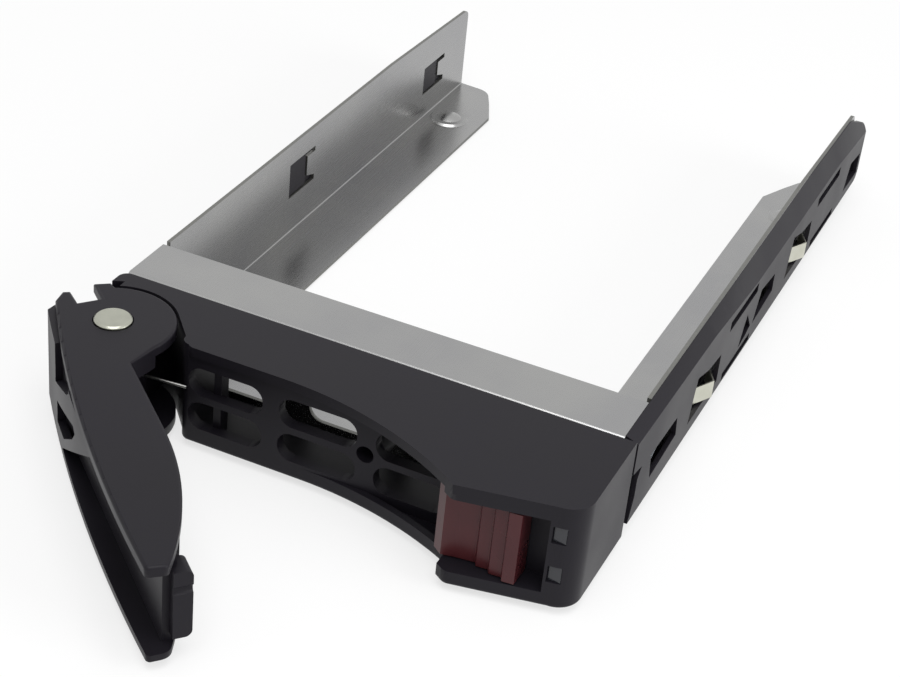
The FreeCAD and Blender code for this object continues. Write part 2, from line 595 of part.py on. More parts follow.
def handle_spring():
    """Torsion spring round the pin: one leg on the bezel's vent wall, one on the lever's web."""
    radius = TORSION_COIL_RADIUS
    half = TORSION_WIRE / 2
    floor = LUG_TOP + BODY_GAP + half
    room = BEZEL_TOP - PLATE - BODY_GAP - half
    touch_y = VENT_FRONT - half - TORSION_TOUCH - PIVOT_Y
    reach = math.hypot(TORSION_FIXED_LEG_END, touch_y)
    fixed_leg = math.sqrt(reach ** 2 - radius ** 2)
    start = math.degrees(math.atan2(touch_y, TORSION_FIXED_LEG_END) + math.asin(radius / reach)) - 90.0
    end = TORSION_LEVER_LEG_TILT - OPEN_ANGLE + 90.0
    turns = TORSION_FULL_TURNS + (start - end) % 360.0 / 360.0
    tilt = math.radians(-TORSION_LEVER_LEG_TILT)
    web_face = WEB_Y + WEB / 2 + half + TORSION_TOUCH
    lever_leg = (radius * math.cos(tilt) - web_face) / math.sin(tilt)
    coiled = 2 * math.pi * radius * turns
    over_lug = math.sqrt(LUG_RADIUS ** 2 - radius ** 2)
    slope = (room - floor) / (over_lug + coiled + lever_leg)
    low = floor + slope * over_lug
    climb = slope * coiled
    helix = Part.makeHelix(climb / turns, climb, radius, 0, True)
    helix.rotate(FreeCAD.Vector(0, 0, 0), FreeCAD.Vector(0, 0, 1), start)
    helix.translate(FreeCAD.Vector(0, 0, low))
    first, last = helix.Edges[0], helix.Edges[-1]
    begin = first.valueAt(first.FirstParameter)
    direction = first.tangentAt(first.FirstParameter)
    tip = begin - direction * fixed_leg
    finish = last.valueAt(last.LastParameter)
    lever_tip = finish + last.tangentAt(last.LastParameter) * lever_leg
    spine = Part.Wire([Part.makeLine(tip, begin)] + helix.Edges + [Part.makeLine(finish, lever_tip)])
    solid = spine.makePipeShell([Part.Wire(Part.makeCircle(half, tip, direction))], True, True)
    solid.translate(FreeCAD.Vector(PIVOT_X, PIVOT_Y, 0))
    return one(solid)


# ---------------------------------------------------------------- bezel
def hollow_tangent(x, y):
    """Where a line from this point, relative to the pivot, touches the hollow round the knuckle."""
    reach = KNUCKLE_RADIUS + KNUCKLE_GAP
    angle = math.atan2(y, x) + math.acos(reach / math.hypot(x, y))
    return (reach * math.cos(angle), reach * math.sin(angle), 0)


def bezel_plan(z0, z1):
    """Plan of a bezel layer: back edge, right side, block front, edge along the closed lever."""
    left = LEFT - LEFT_OVERHANG
    front = INNER_EDGE + CLOSED_GAP
    block_left = BEZEL_SIDE - BLOCK_LEFT_INSET
    start = (KNUCKLE_RADIUS + 4.6, front, 0)
    shape = [hollow_tangent(start[0], front), start, (INNER_STRAIGHT, front, 0)]
    shape += inner_arc(CLOSED_GAP, block_left - PIVOT_X)
    knee, start, straight_end, middle, end = [(x + PIVOT_X, y + PIVOT_Y, 0) for x, y, z in shape]
    corner = (BEZEL_SIDE - BLOCK_CORNER_RADIUS, BLOCK_FRONT_RIGHT, 0)
    side_start = (BEZEL_SIDE, BLOCK_FRONT_RIGHT + BLOCK_CORNER_RADIUS + 0.4, 0)
    bulge = BLOCK_CORNER_RADIUS * (1 - math.sqrt(0.5))
    front_left = (block_left + BLOCK_SLANT, BLOCK_FRONT_LEFT, 0)
    rear = REAR_CORNER_RADIUS
    cut_off = rear * (1 - math.sqrt(0.5))
    edges = [arc((left + rear, 0, 0), (left + cut_off, -cut_off, 0), (left, -rear, 0)),
             line((left, -rear, 0), (left, knee[1], 0)), line((left, knee[1], 0), knee), line(knee, start),
             line(start, straight_end), arc(straight_end, middle, end), line(end, front_left),
             line(front_left, corner),
             arc(corner, (BEZEL_SIDE - bulge, BLOCK_FRONT_RIGHT + bulge + 0.1, 0), side_start),
             line(side_start, (BEZEL_SIDE, 0, 0)), line((BEZEL_SIDE, 0, 0), (left + rear, 0, 0))]
    layer = raise_edges(edges, z0, z1)
    return layer.makeFillet(KNEE_RADIUS, upright_edges(layer, [start[:2]]))


def front_bezel():
    left = LEFT - LEFT_OVERHANG
    top = bezel_plan(BEZEL_TOP - SKIN, BEZEL_TOP)
    back = bezel_plan(BEZEL_BOTTOM, BEZEL_TOP)
    back = back.common(box(left, VENT_BOX_LEFT + SKIN, -BACK_WALL, 0, 0, BEZEL_TOP))
    vents_end = LEFT + SLOT_STARTS[-1] + SLOT_WIDTHS[-1]
    back_right = box(vents_end + 1.0, RIGHT, -BACK_WALL, 0, BEZEL_BOTTOM, BEZEL_TOP)
    solid = top.fuse([lower_lip(), vent_walls(), back, back_right, hinge_recess(), block()])
    for start, width in zip(SLOT_STARTS, SLOT_WIDTHS):
        for low, high in SLOT_ROWS:
            solid = solid.cut(slot(LEFT + start, LEFT + start + width, low, high, SLOT_CORNER,
                                   VENT_FRONT - 1, VENT_FRONT + VENT_WALL + 0.5))
    rib_x = LEFT + SLOT_STARTS[0] + VENT_RIB_OFFSET
    rib = box(rib_x, rib_x + VENT_RIB_THICKNESS, VENT_FRONT + VENT_WALL - 0.5,
              VENT_FRONT + VENT_WALL + VENT_RIB_DEPTH, BEZEL_BOTTOM, BEZEL_TOP - SKIN / 2)
    solid = solid.fuse([rib, screw_boss()])
    solid = solid.cut([screw_path(), lever_room()])
    solid = solid.fuse(lug())
    solid = solid.cut(rod(PIN_RADIUS + 0.02, BEZEL_TOP, (PIVOT_X, PIVOT_Y, 0), (0, 0, 1)))
    return one(solid)


def vent_walls():
    """Front wall of the vents and its left side wall, one rounded corner between them."""
    block_left = BEZEL_SIDE - BLOCK_LEFT_INSET
    walls = box(VENT_BOX_LEFT, block_left, VENT_FRONT, 0, BEZEL_BOTTOM, BEZEL_TOP)
    walls = walls.makeFillet(VENT_CORNER_RADIUS, upright_edges(walls, [(VENT_BOX_LEFT, VENT_FRONT)]))
    walls = walls.makeFillet(LOWER_ROUND, [e for e in edges_at(walls, BEZEL_BOTTOM)
                                           if e.BoundBox.YMax < VENT_FRONT + 0.01])
    return walls.cut(box(VENT_BOX_LEFT + SKIN, block_left + 1, VENT_FRONT + VENT_WALL, 1, 0, BEZEL_TOP + 1))


def hinge_recess():
    """Curved wall behind the knuckle's hollow and the floor between it and the vents."""
    behind = bezel_plan(BEZEL_BOTTOM, BEZEL_TOP - SKIN)
    behind = behind.common(box(PIVOT_X, VENT_BOX_LEFT + 1.5, PIVOT_Y, 0, 0, BEZEL_TOP))
    wall = rod(KNUCKLE_RADIUS + KNUCKLE_GAP + RECESS_WALL, BEZEL_TOP, (PIVOT_X, PIVOT_Y, 0), (0, 0, 1))
    floor = box(PIVOT_X, VENT_BOX_LEFT + 2, PIVOT_Y, 0, 0, BEZEL_BOTTOM + FLOOR)
    return behind.common(wall.fuse(floor))


def lip_plan(inset, z0, z1):
    """Floor outline under the vents, its front edge set back by inset."""
    front = VENT_FRONT + inset
    bend = PIVOT_X + INNER_STRAIGHT + LIP_BEND_PAST_LEVER
    end_x = BEZEL_SIDE - BLOCK_LEFT_INSET + 0.5
    middle, end = [(x, falling(x, bend, front, LIP_ARC_RADIUS + inset), 0) for x in ((bend + end_x) / 2, end_x)]
    left = VENT_BOX_LEFT + VENT_CORNER_RADIUS
    return raise_edges([line((left, 0, 0), (left, front, 0)), line((left, front, 0), (bend, front, 0)),
                        arc((bend, front, 0), middle, end), line(end, (end_x, 0, 0)),
                        line((end_x, 0, 0), (left, 0, 0))], z0, z1)


def lower_lip():
    """Floor of the bezel left of the block, with the raised lip along its curved edge."""
    lip = lip_plan(0.0, BEZEL_BOTTOM, LIP_TOP)
    lip = lip.makeFillet(LOWER_ROUND, [e for e in edges_at(lip, BEZEL_BOTTOM)
                                       if e.BoundBox.YMax < VENT_FRONT + 0.01])
    left_floor = box(VENT_BOX_LEFT + 1.0, VENT_BOX_LEFT + VENT_CORNER_RADIUS + 1.0, VENT_FRONT + VENT_WALL - 0.5, 0,
                     BEZEL_BOTTOM, BEZEL_BOTTOM + FLOOR)
    return lip.cut(lip_plan(LIP_RIDGE, BEZEL_BOTTOM + FLOOR, LIP_TOP + 1)).fuse(left_floor)


def screw_boss():
    y0 = VENT_FRONT + VENT_WALL - 0.5
    return rod(SCREW_HOLE_RADIUS + SCREW_BOSS_WALL, -y0, (LEFT + SCREW_INSET, y0, SCREW_HEIGHT), (0, 1, 0))


def screw_path():
    head = rod(SCREW_HOLE_RADIUS, -VENT_FRONT + 1 - 4.0, (LEFT + SCREW_INSET, VENT_FRONT - 1, SCREW_HEIGHT), (0, 1, 0))
    shank = rod(SCREW_HOLE_RADIUS - 0.55, 10, (LEFT + SCREW_INSET, -8, SCREW_HEIGHT), (0, 1, 0))
    return head.fuse(shank)


def lever_room():
    """Space round the pivot that the lever's plates and fork sweep."""
    reach = KNUCKLE_RADIUS + KNUCKLE_GAP
    high = BEZEL_TOP - PLATE - BODY_GAP
    low = BEZEL_BOTTOM + PLATE + BODY_GAP
    room = rod(reach, 10, (PIVOT_X, PIVOT_Y, high), (0, 0, 1))
    room = room.fuse(rod(reach, low, (PIVOT_X, PIVOT_Y, 0), (0, 0, 1)))
    sweep = rod(-TOOTH_LEFT + KNUCKLE_GAP, 10, (PIVOT_X, PIVOT_Y, high), (0, 0, 1))
    left_part = box(PIVOT_X - 30, PIVOT_X - 5.6, PIVOT_Y - 30, PIVOT_Y + 30, high - 1, high + 12)
    room = room.fuse(sweep.common(left_part))
    middle = rod(reach, high - low + 1, (PIVOT_X, PIVOT_Y, low - 0.5), (0, 0, 1))
    return room.fuse(middle)


def lug():
    """Middle ear of the hinge with the web that carries it from the back wall."""
    low = BEZEL_BOTTOM + PLATE + BODY_GAP
    ear = rod(LUG_RADIUS, LUG_TOP - low, (PIVOT_X, PIVOT_Y, low), (0, 0, 1))
    web = box(PIVOT_X - LUG_WEB_WIDTH / 2, PIVOT_X + LUG_WEB_WIDTH / 2, PIVOT_Y, -BACK_WALL / 2, low, LUG_TOP)
    return ear.fuse(web)


def block():
    """Right hand block with the button's recess and the indicator panel."""
    block_left = BEZEL_SIDE - BLOCK_LEFT_INSET
    low = BEZEL_BOTTOM + FLOOR
    full = bezel_plan(BEZEL_BOTTOM, BEZEL_TOP)
    full = full.common(box(block_left, BEZEL_SIDE + 1, -40, 1, 0, 40))
    full = full.makeFillet(BLOCK_SLANT_RADIUS, upright_edges(full, [(block_left + BLOCK_SLANT, BLOCK_FRONT_LEFT)]))
    front = [e for e in edges_at(full, BEZEL_BOTTOM) if e.BoundBox.YMax < -0.5 * BLOCK_CORNER_RADIUS
             and e.BoundBox.XMax > block_left + 2 * BLOCK_SLANT]
    full = full.makeFillet(LOWER_ROUND, front)
    panel_left = BEZEL_SIDE - LED_PANEL_WIDTH
    recess = box(block_left - 1, panel_left, -40, POCKET_BACK, LIP_TOP, FASCIA_BOTTOM)
    behind = box(block_left - 1, panel_left - 0.2, POCKET_BACK + 1.6, -BACK_WALL, low, BEZEL_TOP - SKIN)
    cable = box(panel_left + LED_WALL, BEZEL_SIDE - LED_WALL, -21.0, 1, low, BEZEL_TOP - SKIN)
    solid = full.cut(recess.fuse([behind, cable]))
    screen_front = button_back() + BODY_GAP + 0.1
    screen = box(panel_left - POCKET_SCREEN_WIDTH, panel_left + 0.5, screen_front, screen_front + POCKET_SCREEN,
                 LIP_TOP - 0.2, FASCIA_BOTTOM + 0.2)
    solid = solid.fuse(screen)
    for height in LED_HEIGHTS:
        centre = BEZEL_SIDE - LED_FROM_SIDE
        window = box(centre - LED_WINDOW_WIDTH / 2, centre + LED_WINDOW_WIDTH / 2, -40, -2.4,
                     height - LED_WINDOW_HEIGHT / 2, height + LED_WINDOW_HEIGHT / 2)
        solid = solid.cut(window)
    return solid


def button_back():
    """Y of the back of the button's pressed face."""
    return BUTTON_FACE + BUTTON_THICKNESS


def bezel_screw():
    x = LEFT + SCREW_INSET
    head = rod(SCREW_HOLE_RADIUS - 0.15, 1.6, (x, -5.65, SCREW_HEIGHT), (0, 1, 0))
    shank = rod(SCREW_HOLE_RADIUS - 0.6, 8.0, (x, -4.1, SCREW_HEIGHT), (0, 1, 0))
    drive = rod(0.7, 0.9, (x, -5.7, SCREW_HEIGHT), (0, 1, 0))
    return one(head.fuse(shank).cut(drive))


# ---------------------------------------------------------------- button
def release_button():
    left = BEZEL_SIDE - BUTTON_LEFT_INSET
    low = LIP_TOP + BUTTON_GAP
    high = FASCIA_BOTTOM - BUTTON_GAP
    right = left + BUTTON_PAD_WIDTH
    back = button_back()
    points = [(left, BUTTON_FACE + 0.4), (left + 1.9, BUTTON_FACE - 1.1), (left + 4.5, BUTTON_FACE - 0.5)]
    ribs_start = right - BUTTON_RIBS * BUTTON_RIB_PITCH
    points.append((ribs_start, BUTTON_FACE))
    for i in range(BUTTON_RIBS):
        x = ribs_start + i * BUTTON_RIB_PITCH
        face = BUTTON_FACE - (i + 1) * BUTTON_RIB_STEP
        points.append((x + 0.5, face - 0.1))
        points.append((x + BUTTON_RIB_PITCH, face + 0.1))
    points += [(right, back), (left + 2.4, back), (left, BUTTON_FACE + 1.9)]
    pad = plan(points, low, high)
    body = box(left + 2.4, left + 2.4 + BUTTON_BODY_WIDTH, back - 0.5, POCKET_BACK - BUTTON_GAP, low, high)
    seat = rod(BUTTON_SPRING_RADIUS + BUTTON_SPRING_WIRE, 2.5,
               (left + 2.4 + BUTTON_BODY_WIDTH - 2.0, spring_axis_y(), spring_axis_z()), (1, 0, 0))
    return one(pad.fuse(body).cut(seat))


def spring_axis_y():
    return (button_back() + POCKET_BACK) / 2


def spring_axis_z():
    return (LIP_TOP + FASCIA_BOTTOM) / 2


def button_spring():
    start = BEZEL_SIDE - BUTTON_LEFT_INSET + 2.4 + BUTTON_BODY_WIDTH - 2.0 + BODY_GAP / 2
    end = BEZEL_SIDE - LED_PANEL_WIDTH - BODY_GAP / 2
    height = end - start - BUTTON_SPRING_WIRE
    solid = coil(BUTTON_SPRING_RADIUS, BUTTON_SPRING_WIRE, BUTTON_SPRING_TURNS, height)
    solid.rotate(FreeCAD.Vector(0, 0, 0), FreeCAD.Vector(0, 1, 0), 90)
    solid.translate(FreeCAD.Vector(start + BUTTON_SPRING_WIRE / 2, spring_axis_y(), spring_axis_z()))
    return one(solid)


# ---------------------------------------------------------------- light pipes
def light_pipe(window_height, run_height):
    """Bar from an indicator window, round the tray's corner and back inside the right rail."""
    centre = BEZEL_SIDE - LED_FROM_SIDE
    half_x = LED_WINDOW_WIDTH / 2 - 0.1
    half_z = LED_WINDOW_HEIGHT / 2 - 0.1
    front = box(centre - half_x, centre + half_x, BLOCK_FRONT_RIGHT + LED_RECESS, -3.0,
                window_height - half_z, window_height + half_z)
    x0 = RIGHT + PIPE_WALL_GAP
    x1 = x0 + PIPE_X
    half = PIPE_Z / 2
    link = box(centre - half_x, x1, -5.2, -3.0, window_height - half, window_height + half)
    pipe_end = RAIL_END - 2.0
    line_points = [(-5.2, window_height), (PIPE_RISE_START, window_height), (PIPE_RISE_END, run_height),
                   (PIPE_TAPER_START, run_height), (pipe_end, pipe_height(pipe_end, run_height))]
    upper = [(y, z + half) for y, z in line_points]
    lower = [(y, z - half) for y, z in reversed(line_points)]
    run = side(upper + lower, x0, x1)
    return one(front.fuse([link, run]))


# ---------------------------------------------------------------- rails
def rail_outline():
    """Side view of the right rail, its two rear corners rounded."""
    outline = side([(RAIL_TOE, RAIL_BOTTOM), (RAIL_END, RAIL_BOTTOM), (RAIL_END, RAIL_END_TOP),
                    (RAIL_END - RAIL_FALL_LENGTH, RAIL_FALL_TOP), (WALL_FALL_START, RAIL_TOP),
                    (RAIL_HOOK_START, RAIL_TOP), (RAIL_HOOK_START, RAIL_HOOK_BOTTOM),
                    (RAIL_START + 1.7, RAIL_HOOK_BOTTOM - 1.0), (RAIL_START, RAIL_HOOK_BOTTOM - 3.0),
                    (RAIL_START, RAIL_HOOK_BOTTOM - 7.0)], RIGHT, BEZEL_SIDE)
    corners = [e for e in outline.Edges if abs(e.tangentAt(e.FirstParameter).x) > 0.99
               and abs(e.Vertexes[0].Y - RAIL_END) < 0.01]
    return outline.makeFillet(RAIL_END_RADIUS, corners)


def rail_shoulder(lowered):
    """Solid under the rail's slanted top, whose outer edge falls towards the back."""
    margin = 2.0
    stations = list(SHOULDER_FROM_FRONT) + [(RAIL_END - back, z) for back, z in SHOULDER_FROM_END]
    sections = []
    for y, outer_top in stations:
        fall = (RAIL_TOP - outer_top) / (BEZEL_SIDE - RIGHT) * margin
        corners = [FreeCAD.Vector(x, y, z) for x, z in (
            (RIGHT - margin, 0), (BEZEL_SIDE + margin, 0),
            (BEZEL_SIDE + margin, outer_top - fall - lowered), (RIGHT - margin, RAIL_TOP + fall - lowered))]
        sections.append(Part.makePolygon(corners + corners[:1]))
    return Part.makeLoft(sections, True, True)


def right_rail():
    inner = RIGHT
    skin = BEZEL_SIDE - RAIL_SKIN
    full = rail_outline().common(rail_shoulder(0.0))
    hollow = side([(RAIL_START + 1.0, RAIL_BOTTOM + 1.0), (RAIL_END - 1.5, RAIL_BOTTOM + 2.0),
                   (RAIL_END - 1.5, RAIL_END_TOP - 2.6), (PIPE_TAPER_START, RAIL_TOP - 1.0),
                   (RAIL_HOOK_START - 5, RAIL_TOP - 1.0), (RAIL_HOOK_START - 5, RAIL_HOOK_BOTTOM + 0.6),
                   (RAIL_START - 5, RAIL_BOTTOM + 1.0)], inner - 1, skin)
    solid = full.cut(hollow.common(rail_shoulder(SHOULDER_SKIN)))
    middle = (LOWER_PIPE_RUN + UPPER_PIPE_RUN) / 2
    divider_end = RAIL_END - DIVIDER_SHORT
    line_points = [(DIVIDER_START, middle), (PIPE_TAPER_START, middle), (divider_end, pipe_height(divider_end, middle))]
    upper = [(y, z + PIPE_DIVIDER / 2) for y, z in line_points]
    lower = [(y, z - PIPE_DIVIDER / 2) for y, z in reversed(line_points)]
    solid = solid.fuse(side(upper + lower, inner, skin + 0.1))
    for opening in rail_openings():
        solid = solid.cut(side(opening, inner - 1, BEZEL_SIDE + 1))
    for start, bottom, height in zip(WINDOW_STARTS, WINDOW_BOTTOMS, WINDOW_HEIGHTS):
        solid = solid.fuse(rail_hook(start, bottom, height, inner, skin + 0.1))
    return one(solid)


def rail_hook(start, bottom, height, x0, x1):
    """Pad of a rail that plugs a side window of the tray."""
    back = start + WINDOW_WIDTH - BODY_GAP
    top = min(bottom + height, pipe_height(back, LOWER_PIPE_RUN) - PIPE_Z / 2) - BODY_GAP
    return box(x0 - SHEET * 0.7, x1, start + BODY_GAP, back, bottom + BODY_GAP, top)


def pipe_height(y, run_height):
    """Middle height of a light pipe in its rear stretch."""
    past = max(0.0, y - PIPE_TAPER_START)
    return run_height - PIPE_END_DROP * past / (RAIL_END - PIPE_TAPER_START)


def rail_openings():
    """Windows in the right rail's skin, and the slits above and below each snap arm."""
    openings = [FRONT_WINDOW, moved(ARM_WINDOW, WINDOW_STARTS[0]), moved(ARM_TIP_GAP, WINDOW_STARTS[0]),
                moved(END_WINDOW, RAIL_END)]
    for start in SPRING_WINDOWS:
        openings.append(moved(SPRING_WINDOW, start))
    for window, offset, (low, high) in zip(WINDOW_STARTS, ARM_SLIT_STARTS, UPPER_SLITS):
        start = window + offset
        end = start + ARM_SLIT_LENGTH
        openings.append([(start, low), (end, low), (end, high), (start, high)])
        low, high = LOWER_SLIT
        openings.append([(start, low), (end, low), (end, high), (start, high)])
    return openings


def moved(outline, start):
    """Outline in YZ moved along Y."""
    return [(y + start, z) for y, z in outline]


def left_rail():
    outer = LEFT - LEFT_RAIL_THICKNESS
    solid = side([(RAIL_START, RAIL_BOTTOM), (LEFT_RAIL_END, RAIL_BOTTOM),
                  (LEFT_RAIL_END, LEFT_RAIL_TOP - LEFT_RAIL_DROP), (LEFT_RAIL_END - LEFT_RAIL_TAPER, LEFT_RAIL_TOP),
                  (RAIL_START, LEFT_RAIL_TOP)], outer, LEFT)
    for start, bottom, height in zip(WINDOW_STARTS, WINDOW_BOTTOMS, WINDOW_HEIGHTS):
        solid = solid.fuse(box(LEFT - 0.5, LEFT + SHEET * 0.7, start + BODY_GAP, start + WINDOW_WIDTH - BODY_GAP,
                               bottom + BODY_GAP, bottom + height - BODY_GAP))
    return one(solid)


# ---------------------------------------------------------------- side springs
def rivet_y(start):
    return start + 2.2


def rivet_z():
    return SPRING_BOTTOM + SPRING_HEIGHT / 2


def side_spring(start):
    """Bowed strip: flat against the wall at both ends, its crest outside the rail."""
    base = RIGHT
    crest = BEZEL_SIDE + SPRING_PROUD
    end = start + SPRING_LENGTH
    tail = base + SPRING_TAIL_GAP
    inner = [(base, start + 0.4), (base, start + SPRING_FLAT_END), (crest - SPRING_STRIP, start + SPRING_CREST),
             (tail, end - 0.6), (tail, end)]
    outer = [(x + SPRING_STRIP, y) for x, y in inner]
    outer[1] = (outer[1][0], outer[1][1] - 0.12)
    strip = plan(inner + outer[::-1], SPRING_BOTTOM, SPRING_BOTTOM + SPRING_HEIGHT)
    hole = rod(RIVET_RADIUS + RUNNING_GAP, 4, (base - 1, rivet_y(start), rivet_z()), (1, 0, 0))
    return one(strip.cut(hole))


def side_spring_rivets():
    rivets = []
    for start in SPRING_WINDOWS:
        shank = rod(RIVET_RADIUS, SHEET + SPRING_STRIP, (RIGHT - SHEET, rivet_y(start), rivet_z()), (1, 0, 0))
        head = rod(RIVET_HEAD_RADIUS, RIVET_HEAD, (RIGHT + SPRING_STRIP, rivet_y(start), rivet_z()), (1, 0, 0))
        rivets.append(one(shank.fuse(head)))
    return Part.makeCompound(rivets)


PIECES = {
    "tray_frame": tray_frame,
    "front_bezel": front_bezel,
    "release_handle": release_handle,
    "pivot_pin": pivot_pin,
    "pivot_ring": pivot_ring,
    "handle_spring": handle_spring,
    "release_button": release_button,
    "button_spring": button_spring,
    "upper_light_pipe": lambda: light_pipe(LED_HEIGHTS[1], UPPER_PIPE_RUN),
    "lower_light_pipe": lambda: light_pipe(LED_HEIGHTS[0], LOWER_PIPE_RUN),
    "right_rail": right_rail,
    "left_rail": left_rail,
    "front_side_spring": lambda: side_spring(SPRING_WINDOWS[0]),
    "rear_side_spring": lambda: side_spring(SPRING_WINDOWS[1]),
    "side_spring_rivets": side_spring_rivets,
    "bezel_screw": bezel_screw,
}

os.makedirs("parts", exist_ok=True)
for name, build in PIECES.items():
    shape = build()
    shape.exportStep("parts/%s.step" % name)
    print(name, len(shape.Solids), round(shape.Volume), shape.isValid())
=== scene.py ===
import math

import bpy
from mathutils import Matrix, Vector


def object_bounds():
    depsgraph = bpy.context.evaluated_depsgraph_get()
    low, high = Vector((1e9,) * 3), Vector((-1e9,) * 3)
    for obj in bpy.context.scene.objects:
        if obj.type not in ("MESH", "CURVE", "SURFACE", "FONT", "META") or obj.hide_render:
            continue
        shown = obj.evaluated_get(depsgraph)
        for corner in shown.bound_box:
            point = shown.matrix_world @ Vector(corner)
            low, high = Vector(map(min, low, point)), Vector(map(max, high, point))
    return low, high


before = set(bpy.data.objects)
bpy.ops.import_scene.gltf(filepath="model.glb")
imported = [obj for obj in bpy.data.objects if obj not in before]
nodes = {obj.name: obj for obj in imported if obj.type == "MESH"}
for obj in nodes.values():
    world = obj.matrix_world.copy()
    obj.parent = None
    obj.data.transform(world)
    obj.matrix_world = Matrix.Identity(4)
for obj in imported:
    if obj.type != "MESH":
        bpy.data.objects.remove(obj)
cadLow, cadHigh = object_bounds()
print("frame loaded:", len(nodes), "nodes")


def colour(code, alpha=1.0):
    # an sRGB hex value turned to the linear values that shaders take
    parts = [int(code[i:i + 2], 16) / 255 for i in (1, 3, 5)]
    linear = [c / 12.92 if c <= 0.04045 else ((c + 0.055) / 1.055) ** 2.4 for c in parts]
    return (*linear, alpha)


def addNode(material, kind, place, settings=None, links=None):
    # settings: socket name or attribute -> value; links: socket name -> output socket
    node = material.node_tree.nodes.new(kind)
    node.location = place
    for name, value in (settings or {}).items():
        if name in node.inputs:
            node.inputs[name].default_value = value
        else:
            setattr(node, name, value)
    for name, source in (links or {}).items():
        material.node_tree.links.new(source, node.inputs[name])
    return node


def newMaterial(name):
    material = bpy.data.materials.new(name)
    material.use_nodes = True
    shader = material.node_tree.nodes["Principled BSDF"]
    return material, shader


def connect(material, source, target):
    material.node_tree.links.new(source, target)


# electro-galvanised steel sheet, cold rolled: soft satin, faint rolling lines, cloudy zinc bloom
galvanisedSheet = {
    "clean": "#9F9F9E",
    "bloom": "#979798",
    "roughness": 0.27,
    "rollingLineWidth": 0.35,     # mm between lines; real ones are nearer 0.05 and wouldn't show
    "rollingLineLength": 40.0,    # mm
    "bloomSize": 28.0,            # mm
}


def makeGalvanisedSheet(settings):
    material, shader = newMaterial("galvanisedSheet")
    place = addNode(material, "ShaderNodeTexCoord", (-1400, 0))
    along = addNode(material, "ShaderNodeMapping", (-1200, 200),
                    {"Scale": (1000 / settings["rollingLineWidth"], 1000 / settings["rollingLineLength"],
                               1000 / settings["rollingLineWidth"])},
                    {"Vector": place.outputs["Object"]})
    rolling = addNode(material, "ShaderNodeTexNoise", (-1000, 200), {"Scale": 1.0, "Detail": 3.0},
                      {"Vector": along.outputs["Vector"]})
    cloud = addNode(material, "ShaderNodeTexNoise", (-1000, -100),
                    {"Scale": 1000 / settings["bloomSize"], "Detail": 4.0, "Roughness": 0.55},
                    {"Vector": place.outputs["Object"]})
    cloudRange = addNode(material, "ShaderNodeMapRange", (-800, -100),
                         {"From Min": 0.35, "From Max": 0.65}, {"Value": cloud.outputs["Fac"]})
    tone = addNode(material, "ShaderNodeMix", (-500, 100), {"data_type": "RGBA"})
    tone.inputs[6].default_value = colour(settings["clean"])
    tone.inputs[7].default_value = colour(settings["bloom"])
    connect(material, cloudRange.outputs["Result"], tone.inputs[0])
    connect(material, tone.outputs[2], shader.inputs["Base Color"])
    rough = addNode(material, "ShaderNodeMapRange", (-500, -200),
                    {"From Min": 0.3, "From Max": 0.7, "To Min": settings["roughness"] - 0.02,
                     "To Max": settings["roughness"] + 0.02}, {"Value": rolling.outputs["Fac"]})
    connect(material, rough.outputs["Result"], shader.inputs["Roughness"])
    bump = addNode(material, "ShaderNodeBump", (-300, -400), {"Strength": 0.02, "Distance": 0.00003},
                   {"Height": rolling.outputs["Fac"]})
    connect(material, bump.outputs["Normal"], shader.inputs["Normal"])
    shader.inputs["Metallic"].default_value = 1.0
    return material


# the sheet's sheared edge: bare steel, duller and darker than the faces, with a fine torn grain
shearedEdge = {"tone": "#84847F", "torn": "#6C6C6B", "roughness": 0.5, "grainPerMetre": 2500.0}


def makeShearedEdge(settings):
    material, shader = newMaterial("shearedEdge")
    place = addNode(material, "ShaderNodeTexCoord", (-1000, 0))
    grain = addNode(material, "ShaderNodeTexNoise", (-800, 0),
                    {"Scale": settings["grainPerMetre"], "Detail": 2.0},
                    {"Vector": place.outputs["Object"]})
    tone = addNode(material, "ShaderNodeMix", (-500, 0), {"data_type": "RGBA"})
    tone.inputs[6].default_value = colour(settings["tone"])
    tone.inputs[7].default_value = colour(settings["torn"])
    connect(material, grain.outputs["Fac"], tone.inputs[0])
    connect(material, tone.outputs[2], shader.inputs["Base Color"])
    shader.inputs["Metallic"].default_value = 1.0
    shader.inputs["Roughness"].default_value = settings["roughness"]
    return material


